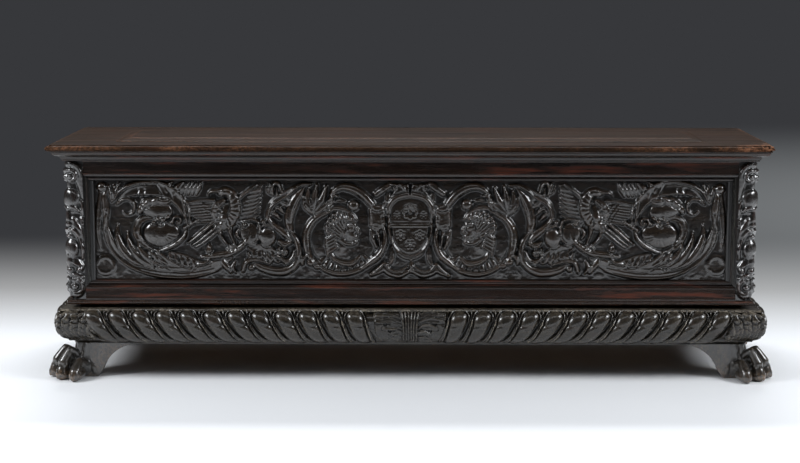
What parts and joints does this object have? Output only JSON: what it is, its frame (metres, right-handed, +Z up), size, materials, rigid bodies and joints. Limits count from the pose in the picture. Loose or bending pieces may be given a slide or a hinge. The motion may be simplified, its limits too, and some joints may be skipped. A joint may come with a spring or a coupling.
{
  "type": "cassone",
  "caption": "Carved walnut chest on lion paw feet, with a strap-hinged lid, framed panels, corner masks, a gadrooned base and a sliding-bolt lock.",
  "frame": {"origin": "on the floor, under the middle of the box that holds the closed chest", "axes": "+Z up, the carved front faces -Y, +X to the right as seen from the front"},
  "size_m": [1.836, 0.576, 0.598],
  "materials": {
    "walnut": "dark waxed walnut, planed and moulded",
    "carved_walnut": "dark waxed walnut, carved, rubbed bright on the high parts",
    "poplar": "unpolished aged poplar",
    "wrought_iron": "hand-forged iron, blackened"
  },
  "bodies": {
    "carcase": {"back_board": "walnut", "back_strap_left": "wrought_iron", "back_strap_nails": "wrought_iron", "back_strap_right": "wrought_iron", "base_back": "poplar", "base_front": "carved_walnut", "base_left": "carved_walnut", "base_right": "carved_walnut", "corner_blocks": "poplar", "corner_mask_left": "carved_walnut", "corner_mask_right": "carved_walnut", "end_board_left": "walnut", "end_board_right": "walnut", "end_moulding_left": "walnut", "end_moulding_right": "walnut", "floor_battens": "poplar", "floor_board_back": "poplar", "floor_board_front": "poplar", "frieze_front": "walnut", "frieze_left": "walnut", "frieze_right": "walnut", "front_board": "carved_walnut", "front_wing_left": "walnut", "front_wing_right": "walnut", "hinge_pin_left": "wrought_iron", "hinge_pin_right": "wrought_iron", "lock_case": "wrought_iron", "lock_plate": "wrought_iron", "lock_plate_nails": "wrought_iron", "lower_rail_front": "walnut", "lower_rail_left": "walnut", "lower_rail_right": "walnut", "panel_moulding_bottom": "walnut", "panel_moulding_left": "walnut", "panel_moulding_right": "walnut", "panel_moulding_top": "walnut", "paw_back_left": "carved_walnut", "paw_back_right": "carved_walnut", "paw_front_left": "carved_walnut", "paw_front_right": "carved_walnut", "plinth_bead_front": "walnut", "plinth_bead_left": "walnut", "plinth_bead_right": "walnut", "side_wing_back_left": "walnut", "side_wing_back_right": "walnut", "side_wing_front_left": "walnut", "side_wing_front_right": "walnut"},
    "lid": {"lid_back_rail": "walnut", "lid_batten_left": "walnut", "lid_batten_right": "walnut", "lid_board": "walnut", "lid_field": "walnut", "lid_leaf_left": "wrought_iron", "lid_leaf_nails": "wrought_iron", "lid_leaf_right": "wrought_iron", "lid_moulding_front": "walnut", "lid_moulding_left": "walnut", "lid_moulding_right": "walnut", "lock_staple": "wrought_iron"},
    "bolt": {"lock_bolt": "wrought_iron"}
  },
  "joints": [
    {"name": "lid_hinge", "type": "hinge", "parent": "carcase", "child": "lid", "pos_m": [0, 0.2645, 0.548], "axis": [-1, 0, 0], "range_deg": [0, 100]},
    {"name": "bolt_slide", "type": "slide", "parent": "carcase", "child": "bolt", "axis": [1, 0, 0], "range_m": [0, 0.014]}
  ]
}
